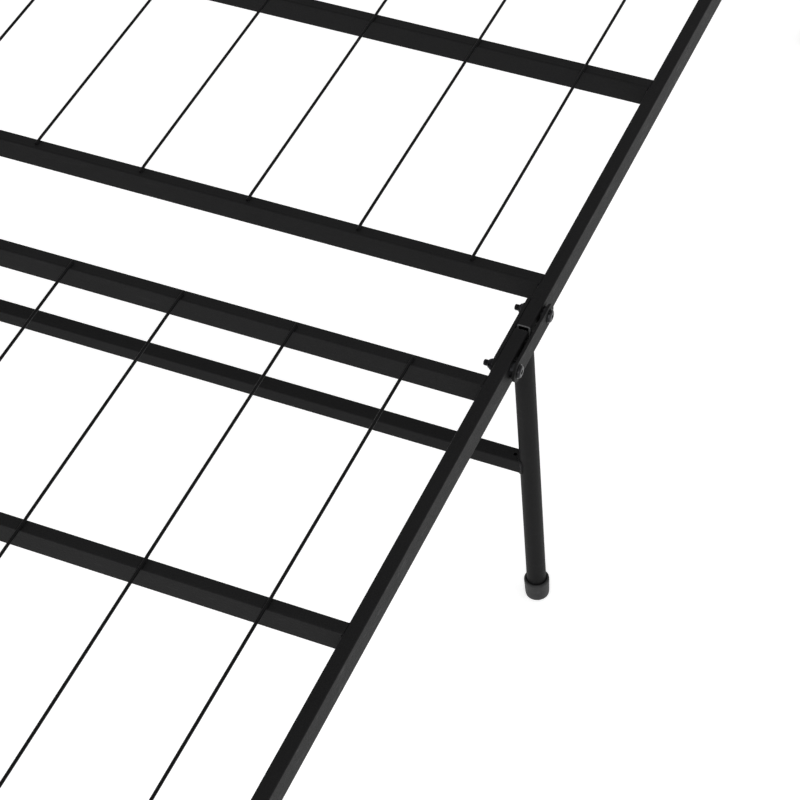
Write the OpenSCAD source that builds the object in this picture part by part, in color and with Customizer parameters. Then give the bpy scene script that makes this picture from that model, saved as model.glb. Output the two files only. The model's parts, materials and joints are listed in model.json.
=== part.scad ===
// Bi-fold metal platform bed frame for a twin mattress.
// X is the width, Y the length with the head half at +Y, Z is up and the floor is z = 0.
// Two slatted halves hang on the link plates of a middle leg frame and fold down,
// undersides together. Each half carries a leg frame that folds in under it.

/* [Deck] */
// Width of the deck, outside to outside of the side rails
bed_w = 950; // [900:5:1000]
// Length of the deck, outside to outside of the end bars
bed_l = 1905; // [1880:1:1950]
// Height of the deck's top faces above the floor
deck_h = 355.6; // [340:0.1:400]
// Open gap between the two halves' rail ends
joint_gap = 5.5; // [5.5:0.5:8]
// Distance of the gap's middle from the middle of the bed, towards the head end
joint_shift = 3; // [0:0.5:3]

/* [Tubes] */
// Width of the side rails and end bars
rail_w = 13; // [12:0.5:13]
// Height of the side rails and end bars
rail_h = 27.5; // [27:0.5:27.5]
// Width of the slats
slat_w = 12.5; // [10:0.5:14]
// Height of the slats
slat_h = 24.5; // [22:0.5:25]
// Size of the square crossbars between the legs
crossbar_w = 16; // [14:0.5:16]
// Wall of the rectangular and square tubes
wall = 1.2; // [1:0.1:1.5]
// Outside corner radius of the rectangular and square tubes
corner_r = 1.5; // [1:0.1:2]

/* [Slats and wires] */
// Distance of each half's first slat from the middle of the bed
hinge_slat_y = 68; // [66:1:72]
// Diameter of the deck wires
wire_d = 3; // [2.5:0.1:4]
// Distance of the outermost wires from the rails' inner faces
wire_edge = 68; // [60:1:80]

/* [Legs] */
// Outside diameter of the leg tubes
leg_d = 19; // [18:0.5:19]
// Wall of the leg tubes
leg_wall = 1.5; // [1.2:0.1:2]
// Outside diameter of the foot caps
cap_d = 25; // [24:0.5:26]
// Height of the foot caps
cap_h = 22; // [18:1:28]
// Thickness of the foot caps' floor
cap_floor = 4; // [3:0.5:5]
// Outward lean of the middle legs, seen along the bed
mid_splay = 2.4; // [1.8:0.1:3]
// Lean of the end legs past upright, against their stops
end_lean = 4; // [3:0.5:5]
// Height of the crossbars' centres above the floor
crossbar_z = 183; // [150:1:200]

/* [Middle joint] */
// Distance of each pivot bolt from the middle of the bed
pivot_y = 37; // [36.5:0.5:38]
// Depth of the pivot bolts below the deck's top faces
pivot_drop = 12.5; // [12.5:0.1:13.5]
// Height of the link plates
link_h = 21; // [20:0.5:22]
// Thickness of the link plates
link_t = 2.5; // [2:0.1:3]
// Depth of the link plates' top edges below the deck's top faces
link_drop = 1.5; // [1:0.1:2]
// Space between a rail and its link plate
link_gap = 3.4; // [3:0.1:4]
// Height of the inner plates that tie the pivot bolts inside the rails
tie_h = 24; // [21:0.5:24]
// Thickness of the inner plates
tie_t = 3; // [2:0.1:3]

/* [Fasteners] */
// Diameter of the bolts
bolt_d = 6; // [5:0.5:6]
// Running clearance on the radius of every pivot
pivot_clearance = 0.05; // [0.02:0.01:0.1]

/* [Hidden] */
$fn = 48;
wire_count = 8;
slat_count = 3;

rail_x = bed_w / 2 - rail_w / 2;
rail_inner_x = bed_w / 2 - rail_w;
end_bar_y = bed_l / 2 - rail_w / 2;
slat_spacing = (end_bar_y - hinge_slat_y) / slat_count;
wire_spacing = 2 * (rail_inner_x - wire_edge) / (wire_count - 1);
wire_end = 2;

bolt_r = bolt_d / 2;
pivot_r = bolt_r + pivot_clearance;
pivot_z = deck_h - pivot_drop;
bush_r = 4.5;
bush_flange_r = 8;
bush_play = 0.1;
washer_r = 6.75;
washer_t = 0.8;
head_r = 6;
head_rim_h = 0.8;
head_dome_h = 1.4;
head_top_r = 3.8;
socket_r = 2.3;
socket_depth = 1.8;
nut_flange_r = 6.5;
nut_flange_h = 1.3;
nut_hex_r = 5.77;
nut_hex_h = 3.4;
nut_collar_r = 4.4;
nut_collar_h = 1.3;
nut_h = nut_flange_h + nut_hex_h + nut_collar_h;
bolt_tail = 4.5;
tail_chamfer = 0.8;

link_x = bed_w / 2 + link_gap;
link_mid_z = deck_h - link_drop - link_h / 2;
tie_play = 0.3;
tie_x = rail_inner_x - tie_play - tie_t;
leg_rail_play = 0.3;
leg_tongue_h = 17;

leg_r = leg_d / 2;
mid_foot_x = bed_w / 2 + 9.4;
mid_leg_top_z = deck_h - rail_h - leg_rail_play;
cap_r = cap_d / 2;
cap_chamfer = 1.5;
cap_sink = 1.5;
drain_r = 2;
drain_gap = 5;

bracket_t = 2.5;
bracket_l = 40;
web_play = 0.3;
ear_play_out = 2.4;
ear_play_in = 1;
ear_drop = 40;
leg_head = 8;
leg_pivot_drop = 14;
web_top = 10;
web_foot = 26;
bracket_out_x = bed_w / 2;
end_leg_x = bracket_out_x - bracket_t - ear_play_out - leg_r;
bracket_in_x = end_leg_x - leg_r - ear_play_in - bracket_t;
leg_pivot_y = bed_l / 2 - 52.5;
leg_pivot_z = deck_h - rail_h - bracket_t - leg_pivot_drop;
end_splay = atan((mid_foot_x - end_leg_x) * cos(end_lean) / leg_pivot_z);
end_leg_len = leg_pivot_z / cos(end_lean) / cos(end_splay);

big = 60;
coat = [0.13, 0.13, 0.13];
coat_light = [0.2, 0.2, 0.2];
plastic = [0.08, 0.08, 0.08];
steel = [0.35, 0.35, 0.36];

ENDS = [["head", 1], ["foot", -1]];
SIDES = [["left", -1], ["right", 1]];
MIDDLE_NODES = ["mid_crossbar", "link_bolts", "link_washers", "link_nuts"];
MIDDLE_PAIRS = ["mid_leg", "mid_leg_cap", "link_plate", "tie_plate"];
HALF_NODES = ["end_bar", "pivot_bushes", "leg_bolts", "leg_nuts", "leg_crossbar"];
HALF_PAIRS = ["rail", "leg_bracket", "leg", "leg_cap"];

// ---- placing ----

module on_side(side) {
    if (side < 0) mirror([1, 0, 0]) children();
    else children();
}

module on_end(end) {
    if (end < 0) mirror([0, 1, 0]) children();
    else children();
}

// Along a middle leg: z runs up the leg from the floor
module on_mid_leg() {
    translate([mid_foot_x, 0, 0]) rotate([0, -mid_splay, 0]) children();
}

// At the end legs' pivots, leaned over with their frame
module on_end_pivot(x = end_leg_x) {
    translate([x, leg_pivot_y, leg_pivot_z]) rotate([end_lean, 0, 0]) children();
}

// On an end leg: the origin is its pivot and -z runs down the leg, out to the middle legs' track
module on_end_leg() {
    on_end_pivot() rotate([0, -end_splay, 0]) children();
}

// ---- stock ----

module tube_section(w, h) {
    difference() {
        union() {
            square([w - 2 * corner_r, h], center = true);
            square([w, h - 2 * corner_r], center = true);
            for (x = [-1, 1], y = [-1, 1])
                translate([x * (w / 2 - corner_r), y * (h / 2 - corner_r)]) circle(corner_r);
        }
        square([w - 2 * wall, h - 2 * wall], center = true);
    }
}

module beam_x(w, h, length) {
    rotate([90, 0, 90]) linear_extrude(length, center = true) tube_section(w, h);
}

module beam_y(w, h, length) {
    rotate([90, 0, 0]) linear_extrude(length, center = true) tube_section(w, h);
}

module pin_x(r, length) {
    rotate([0, 90, 0]) cylinder(r = r, h = length, center = true);
}

// Button-head bolt: the head stands on the x = 0 plane and the shank runs to -x
module button_bolt(length) {
    rotate([0, 90, 0]) difference() {
        union() {
            translate([0, 0, tail_chamfer - length]) cylinder(r = bolt_r, h = length - tail_chamfer);
            translate([0, 0, -length]) cylinder(r1 = bolt_r - tail_chamfer, r2 = bolt_r, h = tail_chamfer);
            cylinder(r = head_r, h = head_rim_h);
            translate([0, 0, head_rim_h]) cylinder(r1 = head_r, r2 = head_top_r, h = head_dome_h);
        }
        translate([0, 0, head_rim_h + head_dome_h - socket_depth])
            cylinder(r = socket_r, h = socket_depth + 1, $fn = 6);
    }
}

// Flanged lock nut: the flange lies on the x = 0 plane and the collar points to -x
module flange_nut() {
    rotate([0, -90, 0]) difference() {
        union() {
            cylinder(r = nut_flange_r, h = nut_flange_h);
            translate([0, 0, nut_flange_h]) cylinder(r = nut_hex_r, h = nut_hex_h, $fn = 6);
            translate([0, 0, nut_flange_h + nut_hex_h]) cylinder(r = nut_collar_r, h = nut_collar_h);
        }
        translate([0, 0, -1]) cylinder(r = bolt_r, h = nut_h + 2);
    }
}

// Slip-on foot cap: z runs up the leg from the point where its axis meets the floor
module foot_cap() {
    color(plastic) difference() {
        union() {
            translate([0, 0, -cap_sink]) cylinder(r1 = cap_r - cap_chamfer, r2 = cap_r, h = 2 * cap_chamfer);
            translate([0, 0, 2 * cap_chamfer - cap_sink]) cylinder(r = cap_r, h = cap_h - 2 * cap_chamfer + cap_sink);
        }
        translate([0, 0, cap_floor]) cylinder(r = leg_r, h = cap_h);
    }
}

// Keeps what stands above the floor
module above_floor(x, y) {
    intersection() {
        children();
        translate([x - big, y - big, 0]) cube([2 * big, 2 * big, 2 * big]);
    }
}

// ---- deck, one half ----

module rail(end, side) {
    joint_y = joint_gap / 2 + end * joint_shift;
    length = bed_l / 2 - joint_y;
    color(coat_light) on_end(end) on_side(side) difference() {
        translate([rail_x, joint_y + length / 2, deck_h - rail_h / 2]) beam_y(rail_w, rail_h, length);
        mitre([[-1, -1], [rail_w + 1, rail_w + 1], [rail_w + 1, -1]]);
        translate([rail_x, pivot_y, pivot_z]) pin_x(bush_r, rail_w + 2);
    }
}

module end_bar(end) {
    color(coat_light) on_end(end) difference() {
        translate([0, end_bar_y, deck_h - rail_h / 2]) beam_x(rail_w, rail_h, bed_w);
        for (side = [-1, 1])
            on_side(side) mitre([[-1, -1], [rail_w + 1, rail_w + 1], [-1, rail_w + 1]]);
    }
}

// Prism at the outer corner; its points count inwards from the rail's and the end bar's outer faces
module mitre(points) {
    translate([0, 0, deck_h - rail_h - 1])
        linear_extrude(rail_h + 2)
            polygon([for (p = points) [bed_w / 2 - p[0], bed_l / 2 - p[1]]]);
}

module slat(end, index) {
    color(coat_light) on_end(end)
        translate([0, hinge_slat_y + (index - 1) * slat_spacing, deck_h - slat_h / 2])
            beam_x(slat_w, slat_h, 2 * rail_inner_x);
}

module wire(end, index) {
    first_y = hinge_slat_y - wire_end;
    last_y = end_bar_y + wire_end;
    color(coat) on_end(end)
        translate([(index - 1) * wire_spacing - rail_inner_x + wire_edge, first_y, deck_h + wire_d / 2])
            rotate([-90, 0, 0]) cylinder(d = wire_d, h = last_y - first_y);
}

// Sleeves through the rails, with flanges that hold the link plates off
module pivot_bushes(end) {
    flange_t = link_gap - bush_play;
    length = rail_w + flange_t;
    color(steel) on_end(end) for (side = [-1, 1])
        on_side(side) translate([rail_inner_x + length / 2, pivot_y, pivot_z]) difference() {
            union() {
                pin_x(bush_r, length);
                translate([rail_w / 2, 0, 0]) pin_x(bush_flange_r, flange_t);
            }
            pin_x(pivot_r, length + 2);
        }
}

module leg_bracket(end, side) {
    width = bracket_out_x - bracket_in_x;
    color(coat_light) on_end(end) on_side(side) difference() {
        union() {
            translate([bracket_in_x, leg_pivot_y - bracket_l / 2, leg_pivot_z + leg_pivot_drop])
                cube([width, bracket_l, bracket_t]);
            for (x = [bracket_in_x, bracket_out_x - bracket_t])
                translate([x, leg_pivot_y - bracket_l / 2, leg_pivot_z + leg_pivot_drop - ear_drop])
                    cube([bracket_t, bracket_l, ear_drop]);
            on_end_pivot(bracket_in_x) translate([0, leg_r + web_play, -web_foot])
                cube([width, bracket_t, web_foot - web_top]);
        }
        translate([end_leg_x, leg_pivot_y, leg_pivot_z]) pin_x(bolt_r, 2 * width);
    }
}

module leg_bolts(end) {
    color(steel) on_end(end) for (side = [-1, 1])
        on_side(side) translate([bracket_out_x, leg_pivot_y, leg_pivot_z])
            button_bolt(bracket_out_x - bracket_in_x + nut_h + bolt_tail / 2);
}

module leg_nuts(end) {
    color(steel) on_end(end) for (side = [-1, 1])
        on_side(side) translate([bracket_in_x, leg_pivot_y, leg_pivot_z]) flange_nut();
}

// ---- end leg frames ----

module end_leg(end, side) {
    color(coat_light) on_end(end) on_side(side) difference() {
        on_end_leg() difference() {
            translate([0, 0, cap_floor - end_leg_len]) cylinder(r = leg_r, h = end_leg_len + leg_head - cap_floor);
            translate([0, 0, -end_leg_len - 1]) cylinder(r = leg_r - leg_wall, h = end_leg_len + leg_head + 2);
        }
        translate([end_leg_x, leg_pivot_y, leg_pivot_z]) pin_x(pivot_r, leg_d + 2);
    }
}

module end_leg_cap(end, side) {
    on_end(end) on_side(side) above_floor(mid_foot_x, leg_pivot_y)
        on_end_leg() translate([0, 0, -end_leg_len]) foot_cap();
}

module leg_crossbar(end) {
    drop = (leg_pivot_z - crossbar_z) / cos(end_lean);
    leg_x = end_leg_x + drop * tan(end_splay);
    color(coat_light) on_end(end) difference() {
        on_end_pivot(0) translate([0, 0, -drop]) beam_x(crossbar_w, crossbar_w, 2 * leg_x);
        for (side = [-1, 1]) on_side(side) {
            on_end_leg() translate([0, 0, -end_leg_len]) cylinder(r = leg_r, h = end_leg_len);
            on_end_pivot(leg_x - leg_r - drain_gap) translate([0, 0, -drop]) cylinder(r = drain_r, h = crossbar_w);
        }
    }
}

// ---- middle leg frame ----

// Its top is notched under the rails, and a tongue of its outer wall runs up behind the link plate
module mid_leg(side) {
    plate_foot_z = link_mid_z - link_h / 2;
    length = (plate_foot_z + leg_tongue_h) / cos(mid_splay);
    color(coat_light) on_side(side) difference() {
        on_mid_leg() difference() {
            translate([0, 0, cap_floor]) cylinder(r = leg_r, h = length - cap_floor);
            translate([0, 0, -1]) cylinder(r = leg_r - leg_wall, h = length + 2);
        }
        translate([0, -leg_d, mid_leg_top_z]) cube([bed_w / 2 + leg_rail_play, 2 * leg_d, big]);
        translate([link_x, -leg_d, plate_foot_z]) cube([leg_d, 2 * leg_d, big]);
    }
}

module mid_leg_cap(side) {
    on_side(side) above_floor(mid_foot_x, 0) on_mid_leg() foot_cap();
}

module mid_crossbar() {
    leg_x = mid_foot_x - crossbar_z * tan(mid_splay);
    color(coat_light) difference() {
        translate([0, 0, crossbar_z]) beam_x(crossbar_w, crossbar_w, 2 * leg_x);
        for (side = [-1, 1]) on_side(side) {
            on_mid_leg() cylinder(r = leg_r, h = deck_h);
            translate([leg_x - leg_r - drain_gap, 0, crossbar_z]) cylinder(r = drain_r, h = crossbar_w);
        }
    }
}

// Flat bar with round ends that holds both pivot bolts; x is its inner face
module bolt_plate(side, x, mid_z, height, thickness) {
    color(coat_light) on_side(side) translate([x, 0, mid_z]) rotate([90, 0, 90])
        linear_extrude(thickness) difference() {
            union() {
                square([2 * pivot_y, height], center = true);
                for (y = [-1, 1]) translate([y * pivot_y, 0]) circle(height / 2);
            }
            for (y = [-1, 1]) translate([y * pivot_y, pivot_z - mid_z]) circle(bolt_r);
        }
}

// Outside the rails, welded to the leg's tongue
module link_plate(side) {
    bolt_plate(side, link_x, link_mid_z, link_h, link_t);
}

// Inside the rails, clamped by the nuts
module tie_plate(side) {
    bolt_plate(side, tie_x, pivot_z, tie_h, tie_t);
}

module at_link_bolts(x) {
    for (end = [-1, 1], side = [-1, 1])
        on_end(end) on_side(side) translate([x, pivot_y, pivot_z]) children();
}

module link_bolts() {
    head_x = link_x + link_t + washer_t;
    color(steel) at_link_bolts(head_x) button_bolt(head_x - tie_x + nut_h + bolt_tail);
}

module link_washers() {
    color(steel) at_link_bolts(link_x + link_t + washer_t / 2) difference() {
        pin_x(washer_r, washer_t);
        pin_x(bolt_r, washer_t + 2);
    }
}

module link_nuts() {
    color(steel) at_link_bolts(tie_x) flange_nut();
}

// ---- assembly ----

mid_crossbar();
link_bolts();
link_washers();
link_nuts();
for (s = SIDES) mid_leg(s[1]);
for (s = SIDES) mid_leg_cap(s[1]);
for (s = SIDES) link_plate(s[1]);
for (s = SIDES) tie_plate(s[1]);
for (e = ENDS) end_bar(e[1]);
for (e = ENDS) pivot_bushes(e[1]);
for (e = ENDS) leg_bolts(e[1]);
for (e = ENDS) leg_nuts(e[1]);
for (e = ENDS) leg_crossbar(e[1]);
for (e = ENDS, s = SIDES) rail(e[1], s[1]);
for (e = ENDS, s = SIDES)
    leg_bracket(e[1], s[1]);
for (e = ENDS, s = SIDES) end_leg(e[1], s[1]);
for (e = ENDS, s = SIDES)
    end_leg_cap(e[1], s[1]);
for (e = ENDS, i = [1:slat_count]) slat(e[1], i);
for (e = ENDS, i = [1:wire_count]) wire(e[1], i);
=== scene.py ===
import json
import math

import bmesh
import bpy
from mathutils import Matrix, Vector, noise


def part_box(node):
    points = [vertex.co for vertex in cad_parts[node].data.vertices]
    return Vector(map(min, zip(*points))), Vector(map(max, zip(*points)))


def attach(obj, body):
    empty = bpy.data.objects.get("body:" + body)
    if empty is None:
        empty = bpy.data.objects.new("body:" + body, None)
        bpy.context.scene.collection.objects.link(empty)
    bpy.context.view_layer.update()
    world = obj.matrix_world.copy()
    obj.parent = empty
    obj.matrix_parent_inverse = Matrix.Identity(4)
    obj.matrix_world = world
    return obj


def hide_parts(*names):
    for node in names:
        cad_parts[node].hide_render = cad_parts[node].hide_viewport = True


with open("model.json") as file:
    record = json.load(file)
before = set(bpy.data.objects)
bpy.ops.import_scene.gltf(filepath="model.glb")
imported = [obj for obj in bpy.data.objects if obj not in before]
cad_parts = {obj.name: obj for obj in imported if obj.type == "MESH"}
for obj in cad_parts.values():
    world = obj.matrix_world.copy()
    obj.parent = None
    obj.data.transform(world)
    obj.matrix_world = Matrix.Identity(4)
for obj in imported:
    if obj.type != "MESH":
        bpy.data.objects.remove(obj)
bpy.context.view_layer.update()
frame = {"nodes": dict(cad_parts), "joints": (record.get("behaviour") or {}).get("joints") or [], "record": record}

# The folding metal bed frame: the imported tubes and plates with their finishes, and detailed pieces
# for the bolts, nuts, washers, foot caps, wires, rail lips and welds. Shapes are written in
# millimetres and turned into metres with mm() or MM; places come from the frame.

MM = 0.001
ENDS = {"head": 1, "foot": -1}
SIDES = {"left": -1, "right": 1}
SLATS = 3
WIRES = 8

JOINTS = {j["name"]: j for j in frame["joints"]}
DECK_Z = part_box("head_rail_right")[1].z
RAIL_IN_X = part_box("head_rail_right")[0].x
RAIL_BOTTOM_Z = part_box("head_rail_right")[0].z

# The camera looks down at the middle joint's right side, from the foot half's side of it
CAMERA_TARGET = Vector((0.4030, -0.1170, DECK_Z))
CAMERA_DISTANCE = 2.1483
CAMERA_AZIMUTH = math.radians(25.646)
CAMERA_ELEVATION = math.radians(46.353)
CAMERA_ROLL = math.radians(-3.147)
CAMERA_LENS = 112.71


# ---- materials ----

def node_material(name, color, roughness, specular=0.5, metallic=0.0):
    """A new node material and its shader, with what is the same all over set on the shader itself."""
    material = bpy.data.materials.new(name)
    material.use_nodes = True
    shader = material.node_tree.nodes["Principled BSDF"]
    shader.inputs["Base Color"].default_value = (*color, 1)
    shader.inputs["Roughness"].default_value = roughness
    shader.inputs["Specular IOR Level"].default_value = specular
    shader.inputs["Metallic"].default_value = metallic
    return material, shader


# The Mix node's sockets that are for colours: factor, first and second colour, and the result
MIX_INPUTS = (0, 6, 7)
MIX_OUTPUT = 2


class Nodes:
    """Adds and links nodes in one material."""

    def __init__(self, material):
        self.tree = material.node_tree
        self.place = self.add("ShaderNodeTexCoord").outputs["Object"]

    def add(self, kind, inputs=(), **settings):
        """A new node; an input is either a value or another node's output, which is linked."""
        node = self.tree.nodes.new(kind)
        for key, value in settings.items():
            setattr(node, key, value)
        for key, value in dict(inputs).items():
            if isinstance(value, bpy.types.NodeSocket):
                self.link(value, node.inputs[key])
            else:
                node.inputs[key].default_value = value
        return node

    def link(self, source, target):
        self.tree.links.new(source, target)

    def noise(self, scale, detail, stretch=(1, 1, 1)):
        """Noise of about that many features a metre; more of them along an axis where stretch is over 1."""
        mapped = self.add("ShaderNodeMapping", {"Vector": self.place, "Scale": stretch})
        inputs = {"Vector": mapped.outputs["Vector"], "Scale": scale, "Detail": detail}
        return self.add("ShaderNodeTexNoise", inputs).outputs["Fac"]

    def between(self, value, low, high, start=0.0, end=1.0):
        """value, from low to high, turned into start to end."""
        node = self.add("ShaderNodeMapRange", {
            "Value": value, "From Min": low, "From Max": high, "To Min": start, "To Max": end,
        })
        return node.outputs["Result"]

    def mix(self, factor, first, second):
        """A colour between two, by a factor."""
        node = self.add("ShaderNodeMix", data_type="RGBA")
        for key, value in zip(MIX_INPUTS, (factor, first, second)):
            if isinstance(value, bpy.types.NodeSocket):
                self.link(value, node.inputs[key])
            else:
                node.inputs[key].default_value = (*value, 1) if isinstance(value, tuple) else value
        return node.outputs[MIX_OUTPUT]

    def math(self, operation, first, second):
        return self.add("ShaderNodeMath", {0: first, 1: second}, operation=operation).outputs[0]

    def edges(self, radius):
        """How far a point is on an edge: 0 on a flat face, rising to 1 on an edge of that radius."""
        soft = self.add("ShaderNodeBevel", {"Radius": radius}, samples=4)
        face = self.add("ShaderNodeNewGeometry")
        dot = self.add("ShaderNodeVectorMath", {0: soft.outputs["Normal"], 1: face.outputs["Normal"]},
                       operation="DOT_PRODUCT")
        return self.between(dot.outputs["Value"], 0.995, 0.8)

    def bump(self, shader, heights):
        """Bumps of several (height, strength, distance), laid over each other on the shader."""
        normal = None
        for height, strength, distance in heights:
            inputs = {"Height": height, "Strength": strength, "Distance": distance}
            if normal:
                inputs["Normal"] = normal
            normal = self.add("ShaderNodeBump", inputs).outputs["Normal"]
        self.link(normal, shader.inputs["Normal"])


def coated_metal(name, dark, light, roughness, edge_colour):
    """Powder coat: orange peel, a fine grain of dark and light, faint scuffs, and edges that are
    slightly shinier and here and there lighter, partly from wear and partly as a painted highlight."""
    material, shader = node_material(name, dark, roughness, specular=0.07)
    n = Nodes(material)
    patches = n.between(n.noise(14, 3), 0.35, 0.7)
    grain = n.between(n.noise(1100, 3), 0.38, 0.62)
    peel = n.noise(620, 2)
    scuffs = n.between(n.noise(60, 5, (1, 1, 6)), 0.58, 0.7)
    edge = n.edges(1.1 * MM)
    # Lighter edges, here and there: partly wear and partly a painted highlight
    worn_and_highlight_edge = n.math("MULTIPLY", edge, n.between(n.noise(90, 4), 0.4, 0.62))
    speckled = n.mix(grain, dark, light)
    shaded = n.mix(n.math("MULTIPLY", patches, 0.35), speckled, light)
    n.link(n.mix(n.math("MULTIPLY", worn_and_highlight_edge, 0.8), shaded, edge_colour), shader.inputs["Base Color"])
    rough = n.between(grain, 0, 1, roughness - 0.05, roughness + 0.06)
    smoother = n.math("MULTIPLY", n.math("MAXIMUM", scuffs, edge), 0.1)
    n.link(n.math("SUBTRACT", rough, smoother), shader.inputs["Roughness"])
    n.bump(shader, [(peel, 1.0, 0.16 * MM), (grain, 0.8, 0.05 * MM)])
    return material


def dark_steel():
    """Black zinc plate: a thin dull metal film, brighter where it has rubbed on the edges."""
    dark, light, edge_colour = (0.014, 0.014, 0.015), (0.045, 0.045, 0.048), (0.3, 0.3, 0.31)
    material, shader = node_material("dark_steel", dark, 0.32, metallic=1.0)
    n = Nodes(material)
    cloud = n.between(n.noise(260, 4), 0.35, 0.7)
    rub = n.math("MULTIPLY", n.edges(0.35 * MM), n.between(n.noise(500, 3), 0.35, 0.6))
    film = n.mix(cloud, dark, light)
    n.link(n.mix(n.math("MULTIPLY", rub, 0.7), film, edge_colour), shader.inputs["Base Color"])
    n.link(n.between(cloud, 0, 1, 0.26, 0.42), shader.inputs["Roughness"])
    n.bump(shader, [(n.noise(2600, 2), 0.3, 0.02 * MM)])
    return material


def foot_plastic():
    """Matt moulded plastic with a spark-eroded skin, scuffed grey near the floor."""
    dark, light, scuffed = (0.013, 0.013, 0.0135), (0.022, 0.022, 0.023), (0.06, 0.058, 0.055)
    material, shader = node_material("foot_plastic", dark, 0.6, specular=0.3)
    n = Nodes(material)
    sparks = n.noise(1500, 3)
    height = n.add("ShaderNodeSeparateXYZ", {0: n.place}).outputs["Z"]
    low = n.between(height, 4 * MM, 0)
    rubbed = n.math("MULTIPLY", low, n.between(n.noise(420, 5), 0.4, 0.65))
    base = n.mix(n.between(n.noise(160, 3), 0.35, 0.7), dark, light)
    n.link(n.mix(rubbed, base, scuffed), shader.inputs["Base Color"])
    n.link(n.between(sparks, 0.3, 0.7, 0.5, 0.68), shader.inputs["Roughness"])
    n.bump(shader, [(sparks, 0.5, 0.04 * MM)])
    return material


# The four slots' materials, and two more finishes of the powder coat: a much lighter one on the rail lips, which
# is a painted highlight, and a glossier one over welds, whose slightly lighter colour is a painted highlight
MATERIALS = {
    "powder_coat": coated_metal("powder_coat", (0.0052, 0.0052, 0.0054), (0.0108, 0.0108, 0.0111), 0.54,
                                (0.024, 0.024, 0.025)),
    "wire_coat": coated_metal("wire_coat", (0.003, 0.003, 0.0032), (0.006, 0.006, 0.0062), 0.46,
                              (0.014, 0.014, 0.0145)),
    # Much lighter than the coat: a painted highlight on the rails' rolled lips
    "lip_painted_highlight_coat": coated_metal("lip_painted_highlight_coat", (0.07, 0.07, 0.072), (0.13, 0.13, 0.132), 0.34,
                                (0.2, 0.2, 0.205)),
    # Glossier than the coat, and slightly lighter as a painted highlight on the welds
    "weld_painted_highlight_coat": coated_metal("weld_painted_highlight_coat", (0.006, 0.006, 0.0065), (0.012, 0.012, 0.0125), 0.25,
                              (0.04, 0.04, 0.041)),
    "dark_steel": dark_steel(),
    "foot_plastic": foot_plastic(),
}
SLOT_OF = {p["node"]: p["material_slot"] for p in frame["record"]["subparts"]}


# ---- mesh tools ----

def mm(*values):
    """A point given in millimetres."""
    return Vector(values) * MM


def skin(rings, loop=False):
    """A closed skin over rings of points: (points, faces). A ring of one point is a tip."""
    points, starts = [], []
    for ring in rings:
        starts.append(len(points))
        points.extend(Vector(p) for p in ring)
    following = list(range(1, len(rings))) + ([0] if loop else [])
    faces = []
    for a, b in zip(range(len(rings)), following):
        count = max(len(rings[a]), len(rings[b]))
        for i in range(count):
            j = (i + 1) % count
            face = [starts[a] + i % len(rings[a]), starts[a] + j % len(rings[a]),
                    starts[b] + j % len(rings[b]), starts[b] + i % len(rings[b])]
            faces.append(tuple(dict.fromkeys(face)))
    return points, faces


def turned(profile, sides=48, loop=False):
    """A skin turned about Z. The profile holds (radius, height) in mm; a radius may be a function of
    the angle, and a radius of 0 is a tip."""
    rings = []
    for radius, height in profile:
        if radius == 0:
            rings.append([mm(0, 0, height)])
            continue
        ring = []
        for i in range(sides):
            angle = math.tau * i / sides
            r = radius(angle) if callable(radius) else radius
            ring.append(mm(r * math.cos(angle), r * math.sin(angle), height))
        rings.append(ring)
    return skin(rings, loop)


def hexagon(corner_r, limit=math.inf):
    """The radius of a hexagon at an angle, cut off at a limit, as a turned chamfer does."""
    flat_r = corner_r * math.cos(math.pi / 6)

    def radius(angle):
        return min(flat_r / math.cos(angle % (math.pi / 3) - math.pi / 6), limit)

    return radius


def swept(points, radius, sides=12, loop=False):
    """A round skin along points in metres; radius is in mm, and may be a function of the point's number."""
    rings = []
    count = len(points)
    up = None
    for i, point in enumerate(points):
        before = points[i - 1] if i or loop else point
        after = points[(i + 1) % count] if i < count - 1 or loop else point
        along = (after - before).normalized()
        if up is None:
            up = along.orthogonal().normalized()
        up = (up - along * up.dot(along)).normalized()
        across = along.cross(up)
        r = (radius(i) if callable(radius) else radius) * MM
        angles = [math.tau * k / sides for k in range(sides)]
        rings.append([point + up * (r * math.cos(a)) + across * (r * math.sin(a)) for a in angles])
    if not loop:
        rings = [[points[0]]] + rings + [[points[-1]]]
    return skin(rings, loop)


def moved(shell, matrix):
    """A copy of a shell, moved by a matrix."""
    points, faces = shell
    return [matrix @ p for p in points], faces


def add_piece(name, shells, body, slot, stands_for=(), smooth=35, finish=None):
    """Makes a piece of closed shells, shaded smooth up to an angle, that rides on a body. It takes its
    slot's material unless it has a finish of its own."""
    mesh = bpy.data.meshes.new(name)
    points, faces = [], []
    for shell_points, shell_faces in shells:
        faces.extend(tuple(i + len(points) for i in face) for face in shell_faces)
        points.extend(shell_points)
    mesh.from_pydata(points, [], faces)
    edit = bmesh.new()
    edit.from_mesh(mesh)
    bmesh.ops.recalc_face_normals(edit, faces=edit.faces)
    edit.to_mesh(mesh)
    edit.free()
    mesh.polygons.foreach_set("use_smooth", [True] * len(mesh.polygons))
    mesh.set_sharp_from_angle(angle=math.radians(smooth))
    mesh.materials.append(MATERIALS[finish or slot])
    obj = bpy.data.objects.new(name, mesh)
    bpy.context.scene.collection.objects.link(obj)
    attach(obj, body)
    if stands_for:
        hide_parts(*stands_for)


def reach(node):
    """The least and the greatest distance of a node's points from the bed's long middle plane."""
    distances = [abs(v.co.x) for v in frame["nodes"][node].data.vertices]
    return min(distances), max(distances)


# ---- welds and lips ----

# Lengthwise spacing of a bead's rings and of its puddles
BEAD_STEP = 0.45
BEAD_RIPPLE = 1.3
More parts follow.
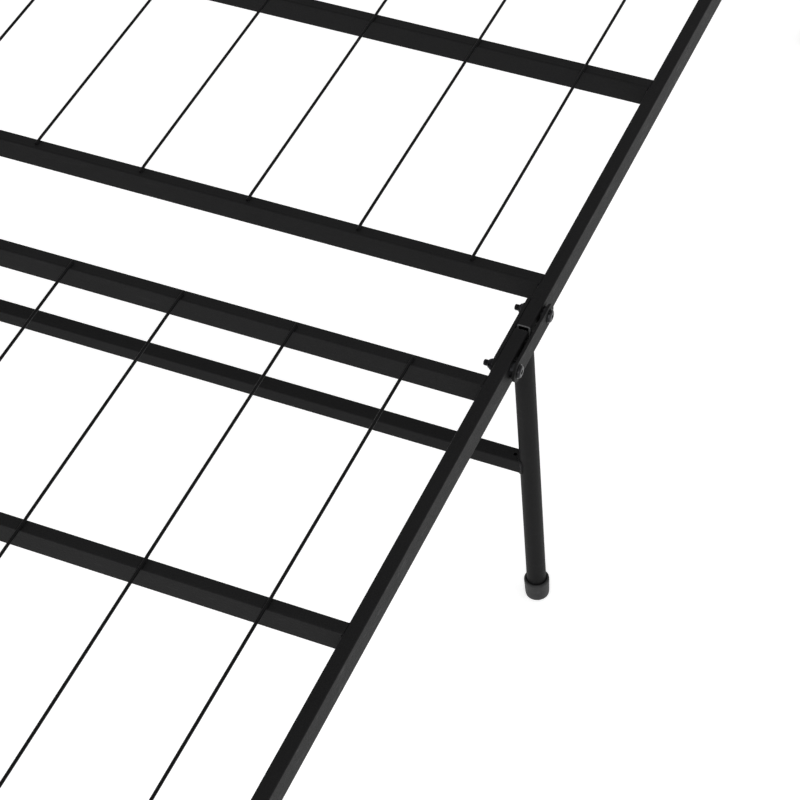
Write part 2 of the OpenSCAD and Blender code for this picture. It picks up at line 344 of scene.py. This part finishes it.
# How far an upright bead stays from its tube's bottom and top faces
BEAD_RISE = 0.4
BEAD_HEADROOM = 2.2
SLAT_BEAD_R = 1.8
SLAT_BEAD_INSET = 0.3
END_BEAD_R = 2.0
END_BEAD_INSET = 0.5
CROSSBAR_BEAD_R = 1.5
TONGUE_BEAD_R = 1.0
PLATE_BEAD_R = 0.75
BRACKET_BEAD_R = 1.7
# The rolled lip at a rail's open end: its section's radius, how far its middle is inside the
# tube's end, and the radius it turns the corners with
LIP_R = 0.9
LIP_INSET = 0.3
LIP_CORNER_R = 1.2


def bead_radius(radius, seed):
    """A weld bead's radius along its length: overlapping puddles, a little uneven."""

    def at(i):
        puddle = abs(math.sin(math.pi * i * BEAD_STEP / BEAD_RIPPLE))
        uneven = noise.noise(Vector((i * 0.11, seed * 7.3, 0)))
        return radius * (0.9 + 0.12 * puddle + 0.12 * uneven)

    return at


def bead(start, end, radius, seed):
    """A straight weld bead with round ends, from start to end in metres."""
    length = (end - start).length / MM
    count = max(8, round(length / BEAD_STEP))
    body = bead_radius(radius, seed)

    def tapered(i):
        from_end = min(i, count - i) * BEAD_STEP
        if from_end >= radius:
            return body(i)
        return max(0.12 * radius, body(i) * math.sqrt(1 - (1 - from_end / radius) ** 2))

    return swept([start.lerp(end, i / count) for i in range(count + 1)], tapered)


def ring_bead(points, radius, seed):
    """A weld bead round a closed line of points."""
    return swept(points, bead_radius(radius, seed), loop=True)


def upright_bead(side, face, outward, node, radius, inset, seed):
    """A bead up the corner between a side rail and a cross tube's face at y = face."""
    low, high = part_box(node)
    x = side * (RAIL_IN_X - inset * MM)
    y = face + outward * inset * MM
    bottom = Vector((x, y, low.z + BEAD_RISE * MM))
    top = Vector((x, y, high.z - BEAD_HEADROOM * MM))
    return bead(bottom, top, radius, seed)


def slat_beads(node):
    """Upright beads in the four corners where a slat's faces meet the side rails."""
    low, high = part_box(node)
    beads = []
    for side in SIDES.values():
        for face, outward in ((low.y, -1), (high.y, 1)):
            seed = face * 90 + side
            beads.append(upright_bead(side, face, outward, node, SLAT_BEAD_R, SLAT_BEAD_INSET, seed))
    return beads


def end_bar_beads(node, end):
    """Upright beads in the two corners on an end bar's inner face."""
    low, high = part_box(node)
    inner = low.y if end > 0 else high.y
    return [
        upright_bead(side, inner, -end, node, END_BEAD_R, END_BEAD_INSET, side + 5)
        for side in SIDES.values()
    ]


def add_welds(name, beads, body):
    """Makes one piece of some weld beads."""
    # Welds take the glossier finish; its slightly lighter colour is a painted highlight
    add_piece(name, beads, body, "powder_coat", smooth=70, finish="weld_painted_highlight_coat")


def add_tube_welds():
    """The beads where each half's slats and end bar meet its side rails."""
    for end_name, end in ENDS.items():
        body = f"{end_name}_half"
        for i in range(1, SLATS + 1):
            add_welds(f"{end_name}_slat_{i}_welds", slat_beads(f"{end_name}_slat_{i}"), body)
        add_welds(f"{end_name}_end_bar_welds", end_bar_beads(f"{end_name}_end_bar", end), body)


def box_outline(low, high, corner, y):
    """Points round a side rail's section at one place along the bed, in metres."""
    middle_x, middle_z = (low.x + high.x) / 2, (low.z + high.z) / 2
    across, up = (high.x - low.x) / 2, (high.z - low.z) / 2
    points = []
    for quarter, (sx, sz) in enumerate(((1, 1), (-1, 1), (-1, -1), (1, -1))):
        corner_x, corner_z = middle_x + sx * (across - corner), middle_z + sz * (up - corner)
        for k in range(5):
            angle = math.pi / 2 * (quarter + k / 4)
            x = corner_x + corner * math.cos(angle)
            points.append(Vector((x, y, corner_z + corner * math.sin(angle))))
    return points


def add_rail_lips():
    """The rolled lip at each side rail's open end, beside the gap between the halves."""
    for end_name, end in ENDS.items():
        shells = []
        for side_name in SIDES:
            low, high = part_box(f"{end_name}_rail_{side_name}")
            y = low.y if end > 0 else high.y
            inset = mm(LIP_R, 0, LIP_R)
            outline = box_outline(low + inset, high - inset, LIP_CORNER_R * MM, y + end * LIP_INSET * MM)
            shells.append(swept(outline, LIP_R, sides=16, loop=True))
        # The lips take the much lighter finish, a painted highlight along the rails' open ends
        add_piece(f"{end_name}_rail_lips", shells, f"{end_name}_half", "powder_coat", smooth=80,
                  finish="lip_painted_highlight_coat")


# ---- wires ----

# How deep a wire sinks at a weld, from how far off, and in what steps that is drawn
WIRE_SINK = 0.45
SINK_REACH = 9
SINK_STEP = 1.5
# How far a wire bows sideways between welds, and how far from a weld that is reached
WIRE_BOW = 0.5
BOW_REACH = 60
WIRE_STEPS = 40
# A spot weld's half length along the wire, half width across it, and half height
SPOT_HALF_L = 2.6
SPOT_HALF_W = 2.2
SPOT_H = 1.0


def crossings(end_name):
    """Where a half's wires lie on its tubes, as distances along the bed."""
    nodes = [f"{end_name}_slat_{i}" for i in range(1, SLATS + 1)] + [f"{end_name}_end_bar"]
    return [(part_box(n)[0].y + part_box(n)[1].y) / 2 for n in nodes]


def wire(node, seed):
    """A wire that sinks a little into each tube it is welded to, bows slightly and has sheared ends."""
    low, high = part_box(node)
    radius = (high.x - low.x) / 2 / MM
    centre = (low + high) / 2
    tubes = crossings(node.split("_")[0])
    start, stop = low.y, high.y
    steps = {start, stop}
    steps.update(start + (stop - start) * k / WIRE_STEPS for k in range(WIRE_STEPS + 1))
    steps.update(min(stop, max(start, y + k * SINK_STEP * MM)) for y in tubes for k in range(-8, 9))
    points = []
    for y in sorted(steps):
        near = min(abs(y - t) for t in tubes) / MM
        sink = WIRE_SINK * MM * (0.5 + 0.5 * math.cos(math.pi * min(near / SINK_REACH, 1)))
        bow = WIRE_BOW * MM * noise.noise(Vector((y * 3.1, seed * 2.7, 0))) * min(near / BOW_REACH, 1)
        points.append(Vector((centre.x + bow, y, centre.z - sink)))
    last = len(points) - 1

    def sheared(i):
        return radius * (0.86 if i in (0, last) else 1)

    return swept(points, sheared, sides=16)


def spot_weld(x, y, seed):
    """The squeezed-out fillet on both sides of a wire where it is spot-welded to a tube."""
    profile = [(0, -SPOT_H)]
    for k in range(1, 8):
        angle = math.pi * (k / 8 - 0.5)
        profile.append((math.cos(angle), math.sin(angle) * SPOT_H))
    profile.append((0, SPOT_H))
    points, faces = turned(profile, sides=20)
    grown = []
    for p in points:
        swell = 1 + 0.22 * noise.noise(Vector((p.x * 900 + seed, p.y * 900, p.z * 900)))
        offset = Vector((p.x * SPOT_HALF_W, p.y * SPOT_HALF_L, p.z)) * swell
        grown.append(Vector((x, y, DECK_Z)) + offset)
    return grown, faces


def add_wires():
    """Each half's wires, and a piece with all their spot welds."""
    for end_name, end in ENDS.items():
        body = f"{end_name}_half"
        shells = []
        for i in range(1, WIRES + 1):
            node = f"{end_name}_wire_{i}"
            add_piece(f"{node}_drawn", [wire(node, i + 10 * end)], body, "wire_coat", [node])
            low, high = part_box(node)
            for k, y in enumerate(crossings(end_name)):
                inside = min(max(y, low.y + SPOT_HALF_L * MM), high.y - SPOT_HALF_L * MM)
                shells.append(spot_weld((low.x + high.x) / 2, inside, seed=i * 5 + k))
        add_piece(f"{end_name}_wire_welds", shells, body, "wire_coat", smooth=80)


# ---- fasteners ----

BOLT_R = 3.0
BORE_R = BOLT_R - 0.3
THREAD_PITCH = 1.0
THREAD_DEPTH = 0.55
THREAD_LENGTH = 10.0
RINGS_A_TURN = 8
# The lengths over which the thread fades in from the tip and out to the shank, and the tip's chamfer
THREAD_LEAD_IN = 1.2
THREAD_RUN_OUT = 0.8
TIP_CHAMFER = 0.75
# The head's outside, the height of its straight rim, and the flat at the top of its dome
HEAD_R = 6.0
HEAD_RIM_H = 0.75
HEAD_FLAT_R = 3.4
SOCKET_CORNER_R = 2.3
NUT_CORNER_R = 5.77
WASHER_R = 6.75
WASHER_BORE_R = 3.2


def thread_rings(tip, length, sides):
    """Rings of a screw thread on the last stretch of a bolt, which tapers at the tip."""
    rings = []
    steps = round(length / THREAD_PITCH * RINGS_A_TURN)
    for k in range(steps + 1):
        height = tip + length * k / steps
        from_tip, to_shank = height - tip, tip + length - height
        fade = min(1, from_tip / THREAD_LEAD_IN + 0.2) * min(1, to_shank / THREAD_RUN_OUT)
        ring = []
        for i in range(sides):
            turn = height / THREAD_PITCH - i / sides
            ridge = abs(turn % 1 - 0.5) * 2
            groove = THREAD_DEPTH * (1 - min(1, ridge * 1.15)) * max(fade, 0)
            r = min(BOLT_R - groove, BOLT_R - TIP_CHAMFER + max(from_tip, 0))
            angle = math.tau * i / sides
            ring.append(mm(r * math.cos(angle), r * math.sin(angle), height))
        rings.append(ring)
    return rings


def button_bolt(head_h, tip):
    """A button-head bolt: the head stands on z = 0 and the tip is at z = tip, both in mm."""
    sides = 48
    socket = hexagon(SOCKET_CORNER_R)
    socket_rim = hexagon(SOCKET_CORNER_R + 0.25)
    profile = [(BOLT_R, tip + THREAD_LENGTH + 0.2), (BOLT_R, -0.3), (BOLT_R + 0.25, 0.0)]
    profile += [(HEAD_R - 0.25, 0.0), (HEAD_R, 0.2), (HEAD_R, HEAD_RIM_H - 0.15)]
    for k in range(7):
        angle = math.pi / 2 * k / 6
        r = HEAD_FLAT_R + (HEAD_R - 0.1 - HEAD_FLAT_R) * math.cos(angle)
        profile.append((r, HEAD_RIM_H + (head_h - HEAD_RIM_H) * math.sin(angle)))
    profile += [(socket_rim, head_h), (socket, head_h - 0.25), (socket, head_h - 1.7)]
    profile += [(1.2, head_h - 2.0), (0, head_h - 2.2)]
    points, _ = turned(profile, sides)
    upper = [points[i:i + sides] for i in range(0, len(points) - 1, sides)] + [points[-1:]]
    return skin([[mm(0, 0, tip)]] + thread_rings(tip, THREAD_LENGTH, sides) + upper)


def flange_nut(height):
    """A flanged lock nut on z = 0, with a chamfered hexagon and a rolled collar."""
    corner_r = NUT_CORNER_R
    hex_top = height - 2.0
    profile = [(BORE_R, 0.0), (6.3, 0.0), (6.5, 0.2), (6.5, 0.8), (6.3, 1.05), (5.95, 1.4)]
    profile += [(hexagon(corner_r, 5.9), 1.75), (hexagon(corner_r), 2.2), (hexagon(corner_r), hex_top - 0.9)]
    profile += [(hexagon(corner_r, 5.5), hex_top - 0.45), (hexagon(corner_r, 5.15), hex_top)]
    profile += [(4.75, hex_top + 0.05), (4.4, hex_top + 0.35), (4.3, height - 0.6)]
    profile += [(4.0, height - 0.15), (3.6, height), (3.2, height - 0.2), (BORE_R, height - 0.6)]
    return turned(profile, loop=True)


def washer(thickness):
    """A washer on z = 0 with broken edges."""
    inner_r, outer_r, edge = WASHER_BORE_R, WASHER_R, 0.15
    profile = [(inner_r, edge), (inner_r + edge, 0), (outer_r - edge, 0), (outer_r, edge)]
    profile += [(outer_r, thickness - edge), (outer_r - edge, thickness)]
    profile += [(inner_r + edge, thickness), (inner_r, thickness - edge)]
    return turned(profile, sides=64, loop=True)


def facing(side, x, y, z, turn=0.0):
    """Stands a shape made on Z at a place, pointing away from the bed's middle on one side."""
    return (Matrix.Translation((side * x, y, z)) @ Matrix.Rotation(side * math.pi / 2, 4, "Y")
            @ Matrix.Rotation(turn, 4, "Z"))


def joint_fasteners(name, joints, head_x):
    """Bolts whose heads stand at head_x, and their nuts, on both sides of some joints."""
    bolts, nuts = [], []
    tip_x, top_x = reach(f"{name}_bolts")
    nut_top_x, nut_x = reach(f"{name}_nuts")
    bolt = button_bolt((top_x - head_x) / MM, (tip_x - head_x) / MM)
    nut = moved(flange_nut((nut_x - nut_top_x) / MM), Matrix.Rotation(math.pi, 4, "X"))
    for i, joint in enumerate(joints):
        _, y, z = JOINTS[joint]["pos_m"]
        for side in SIDES.values():
            # No two are left turned alike
            turn = 0.5 + 1.3 * i + 0.4 * side + len(name)
            bolts.append(moved(bolt, facing(side, head_x, y, z, turn)))
            nuts.append(moved(nut, facing(side, nut_x, y, z, 2 * turn)))
    return bolts, nuts


def add_link_fasteners():
    """The middle leg frame's pivot bolts, nuts and washers."""
    joints = [f"{end_name}_fold" for end_name in ENDS]
    plate_x, head_x = reach("link_washers")
    bolts, nuts = joint_fasteners("link", joints, head_x)
    washers = []
    for joint in joints:
        _, y, z = JOINTS[joint]["pos_m"]
        for side in SIDES.values():
            washers.append(moved(washer((head_x - plate_x) / MM), facing(side, plate_x, y, z)))
    add_piece("link_bolts_threaded", bolts, "mid_leg_frame", "dark_steel", ["link_bolts"])
    add_piece("link_nuts_flanged", nuts, "mid_leg_frame", "dark_steel", ["link_nuts"])
    add_piece("link_washers_pressed", washers, "mid_leg_frame", "dark_steel", ["link_washers"])


def add_fasteners():
    add_link_fasteners()
    for end_name in ENDS:
        head_x = reach(f"{end_name}_leg_bracket_right")[1]
        bolts, nuts = joint_fasteners(f"{end_name}_leg", [f"{end_name}_leg_fold"], head_x)
        body = f"{end_name}_half"
        add_piece(f"{end_name}_leg_bolts_threaded", bolts, body, "dark_steel", [f"{end_name}_leg_bolts"])
        add_piece(f"{end_name}_leg_nuts_flanged", nuts, body, "dark_steel", [f"{end_name}_leg_nuts"])


# ---- legs ----

LEG_R = 9.5


def leg_axis(node):
    """A leg tube's bottom centre and the direction up the tube, from the ring that ends it."""
    points = [v.co for v in frame["nodes"][node].data.vertices]
    lowest = min(p.z for p in points)
    ring = [p for p in points if p.z < lowest + 4 * MM]
    centre = sum(ring, Vector()) / len(ring)
    right = max(ring, key=lambda p: p.x) - centre
    back = max(ring, key=lambda p: p.y) - centre
    up = right.cross(back).normalized()
    return centre, up if up.z > 0 else -up


def foot_cap(node):
    """A slip-on foot cap, moulded with a rounded lip and a slight taper, flat where it stands."""
    centre, up = leg_axis(node)
    base = centre - up * (centre.z / up.z)
    # Up the outside from the base to the lip, then down the bore to its floor
    profile = [(0, -1.6), (6.0, -1.6), (10.2, -1.6), (10.9, -0.9), (11.35, 0.3), (11.65, 1.8), (11.8, 4.0)]
    profile += [(12.3, 18.2), (12.36, 19.6), (12.2, 20.8), (11.75, 21.5), (11.1, 21.8), (10.4, 21.7)]
    profile += [(9.95, 21.2), (9.75, 20.4), (9.55, 20.0), (9.5, 4.0), (0, 4.0)]
    points, faces = turned(profile, sides=64)
    matrix = Matrix.Translation(base) @ up.to_track_quat("Z", "Y").to_matrix().to_4x4()
    stood = [matrix @ p for p in points]
    return [Vector((p.x, p.y, max(p.z, 0))) for p in stood], faces


BAR_CORNER_R = 1.5
# How far the middle of a crossbar's bead stands out of the leg
BEAD_PROUD = 0.3


def square_outline(half, corner, steps):
    """Points round a square with rounded corners, as (across, upward) pairs."""
    straight = half - corner
    quarter = [(half, -straight + 2 * straight * k / steps) for k in range(steps)]
    for k in range(3):
        angle = math.pi / 2 * k / 3
        quarter.append((straight + corner * math.cos(angle), straight + corner * math.sin(angle)))
    outline = []
    for _ in range(4):
        outline.extend(quarter)
        quarter = [(-b, a) for a, b in quarter]
    return outline


def crossbar_weld(leg, side, middle, bar_half, lean):
    """A bead round a square crossbar's end, on the line where it meets the round leg."""
    base, up = leg_axis(leg)
    points = []
    for across, upward in square_outline(bar_half, BAR_CORNER_R, 14):
        place = middle + lean @ mm(0, across, upward)
        foot = base + up * ((place.z - base.z) / up.z)
        depth = math.sqrt(max((LEG_R * MM) ** 2 - (place.y - foot.y) ** 2, 0))
        points.append(Vector((foot.x - side * (depth + BEAD_PROUD * MM), place.y, place.z)))
    return ring_bead(points, CROSSBAR_BEAD_R, seed=side + middle.y)


def crossbar_welds(bar, legs):
    """The beads at both ends of a crossbar, which leans as its legs do."""
    low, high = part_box(bar)
    middle = (low + high) / 2
    up = leg_axis(legs["right"])[1]
    angle = math.atan2(up.y, up.z)
    lean = Matrix.Rotation(-angle, 3, "X")
    half = (high.z - low.z) / 2 / MM / (abs(math.sin(angle)) + math.cos(angle))
    return [crossbar_weld(legs[n], s, middle, half, lean) for n, s in SIDES.items()]


def add_leg_pieces():
    """The six foot caps, and the beads that join each crossbar to its legs."""
    for side_name in SIDES:
        add_piece(f"mid_leg_cap_{side_name}_moulded", [foot_cap(f"mid_leg_{side_name}")], "mid_leg_frame",
                  "foot_plastic", [f"mid_leg_cap_{side_name}"])
        for end_name in ENDS:
            add_piece(f"{end_name}_leg_cap_{side_name}_moulded", [foot_cap(f"{end_name}_leg_{side_name}")],
                      f"{end_name}_leg_frame", "foot_plastic", [f"{end_name}_leg_cap_{side_name}"])
    beads = crossbar_welds("mid_crossbar", {n: f"mid_leg_{n}" for n in SIDES})
    add_welds("mid_crossbar_welds", beads, "mid_leg_frame")
    for end_name in ENDS:
        beads = crossbar_welds(f"{end_name}_leg_crossbar", {n: f"{end_name}_leg_{n}" for n in SIDES})
        add_welds(f"{end_name}_leg_crossbar_welds", beads, f"{end_name}_leg_frame")


def add_plate_welds():
    """Beads that join each link plate to its leg's tongue, behind the plate and along its lower edge."""
    tongue_half_w, edge_half_w = 5.6, 5.5
    for side_name, side in SIDES.items():
        low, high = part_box(f"link_plate_{side_name}")
        inner_x = min(abs(low.x), abs(high.x))
        leg_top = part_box(f"mid_leg_{side_name}")[1].z
        beads = []
        for y in (-tongue_half_w, tongue_half_w):
            x = side * (inner_x - 0.2 * MM)
            bottom = Vector((x, y * MM, low.z + 1.5 * MM))
            beads.append(bead(bottom, Vector((x, y * MM, leg_top)), TONGUE_BEAD_R, y + side))
        x = side * (inner_x + 0.6 * MM)
        z = low.z - 0.1 * MM
        ends = [Vector((x, y * MM, z)) for y in (-edge_half_w, edge_half_w)]
        beads.append(bead(*ends, PLATE_BEAD_R, side + 9))
        add_welds(f"link_plate_{side_name}_welds", beads, "mid_leg_frame")


def add_bracket_welds():
    """A bead along the inner edge between each end leg bracket and its rail."""
    for end_name, end in ENDS.items():
        beads = []
        for side_name, side in SIDES.items():
            low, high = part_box(f"{end_name}_leg_bracket_{side_name}")
            x = side * (RAIL_IN_X + 0.2 * MM)
            z = RAIL_BOTTOM_Z + 0.4 * MM
            ends = [Vector((x, y, z)) for y in (low.y + 3 * MM, high.y - 3 * MM)]
            beads.append(bead(*ends, BRACKET_BEAD_R, side + end))
        add_welds(f"{end_name}_leg_bracket_welds", beads, f"{end_name}_half")


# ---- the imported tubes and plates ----

# Faces that meet at more than SHARP_ANGLE are shaded sharp, and at more than BROKEN_ANGLE their
# edge gets a bevel
SHARP_ANGLE = math.radians(30)
BROKEN_ANGLE = math.radians(50)
BROKEN_WIDTH = 0.3


def finish_cad_nodes():
    """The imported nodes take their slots' finishes, smooth round faces and slightly broken edges."""
    for name, obj in frame["nodes"].items():
        mesh = obj.data
        mesh.materials.clear()
        mesh.materials.append(MATERIALS[SLOT_OF[name]])
        mesh.polygons.foreach_set("use_smooth", [True] * len(mesh.polygons))
        mesh.set_sharp_from_angle(angle=SHARP_ANGLE)
        if obj.hide_render:
            continue
        edge = obj.modifiers.new("broken edges", "BEVEL")
        edge.width = BROKEN_WIDTH * MM
        edge.segments = 2
        edge.limit_method = "ANGLE"
        edge.angle_limit = BROKEN_ANGLE
        edge.harden_normals = True


# ---- studio ----

FLOOR_GLOW = 0.42
WORLD_LEVEL = 0.64
SENSOR_WIDTH = 36


def add_floor():
    """A plain white floor, lit from within like a studio's light table."""
    half = 30
    mesh = bpy.data.meshes.new("floor")
    corners = [(-half, -half, 0), (half, -half, 0), (half, half, 0), (-half, half, 0)]
    mesh.from_pydata(corners, [], [(0, 1, 2, 3)])
    floor = bpy.data.objects.new("floor", mesh)
    bpy.context.scene.collection.objects.link(floor)
    material, shader = node_material("floor_white", (0.9, 0.9, 0.9), roughness=0.9, specular=0.2)
    shader.inputs["Emission Color"].default_value = (1, 1, 1, 1)
    shader.inputs["Emission Strength"].default_value = FLOOR_GLOW
    mesh.materials.append(material)


def add_softbox(name, direction, distance, size, power):
    """A square area light that faces the bed's middle from a direction."""
    light = bpy.data.lights.new(name, "AREA")
    light.shape = "SQUARE"
    light.size = size
    light.energy = power
    obj = bpy.data.objects.new(name, light)
    bpy.context.scene.collection.objects.link(obj)
    away = Vector(direction).normalized()
    obj.location = away * distance
    obj.rotation_mode = "QUATERNION"
    obj.rotation_quaternion = away.to_track_quat("Z", "Y")


def add_world():
    """The same white light from all round."""
    world = bpy.data.worlds.new("studio")
    world.use_nodes = True
    world.node_tree.nodes["Background"].inputs["Color"].default_value = (1, 1, 1, 1)
    world.node_tree.nodes["Background"].inputs["Strength"].default_value = WORLD_LEVEL
    bpy.context.scene.world = world


def add_camera():
    data = bpy.data.cameras.new("camera")
    data.lens = CAMERA_LENS
    data.sensor_width = SENSOR_WIDTH
    camera = bpy.data.objects.new("camera", data)
    bpy.context.scene.collection.objects.link(camera)
    back = Vector((
        math.sin(CAMERA_AZIMUTH) * math.cos(CAMERA_ELEVATION),
        -math.cos(CAMERA_AZIMUTH) * math.cos(CAMERA_ELEVATION),
        math.sin(CAMERA_ELEVATION),
    ))
    camera.rotation_mode = "QUATERNION"
    turn = (-back).to_track_quat("-Z", "Y").to_matrix() @ Matrix.Rotation(CAMERA_ROLL, 3, "Z")
    camera.rotation_quaternion = turn.to_quaternion()
    camera.location = CAMERA_TARGET + back * CAMERA_DISTANCE
    bpy.context.scene.camera = camera


add_tube_welds()
add_rail_lips()
add_wires()
add_fasteners()
add_leg_pieces()
add_plate_welds()
add_bracket_welds()
finish_cad_nodes()
add_floor()
add_world()
add_softbox("key", (0.5, -1.2, 1.0), distance=6, size=4, power=125)
add_softbox("side", (1.2, 0.0, 0.8), distance=6, size=4, power=14)
add_camera()
bpy.context.scene.view_settings.view_transform = "Standard"
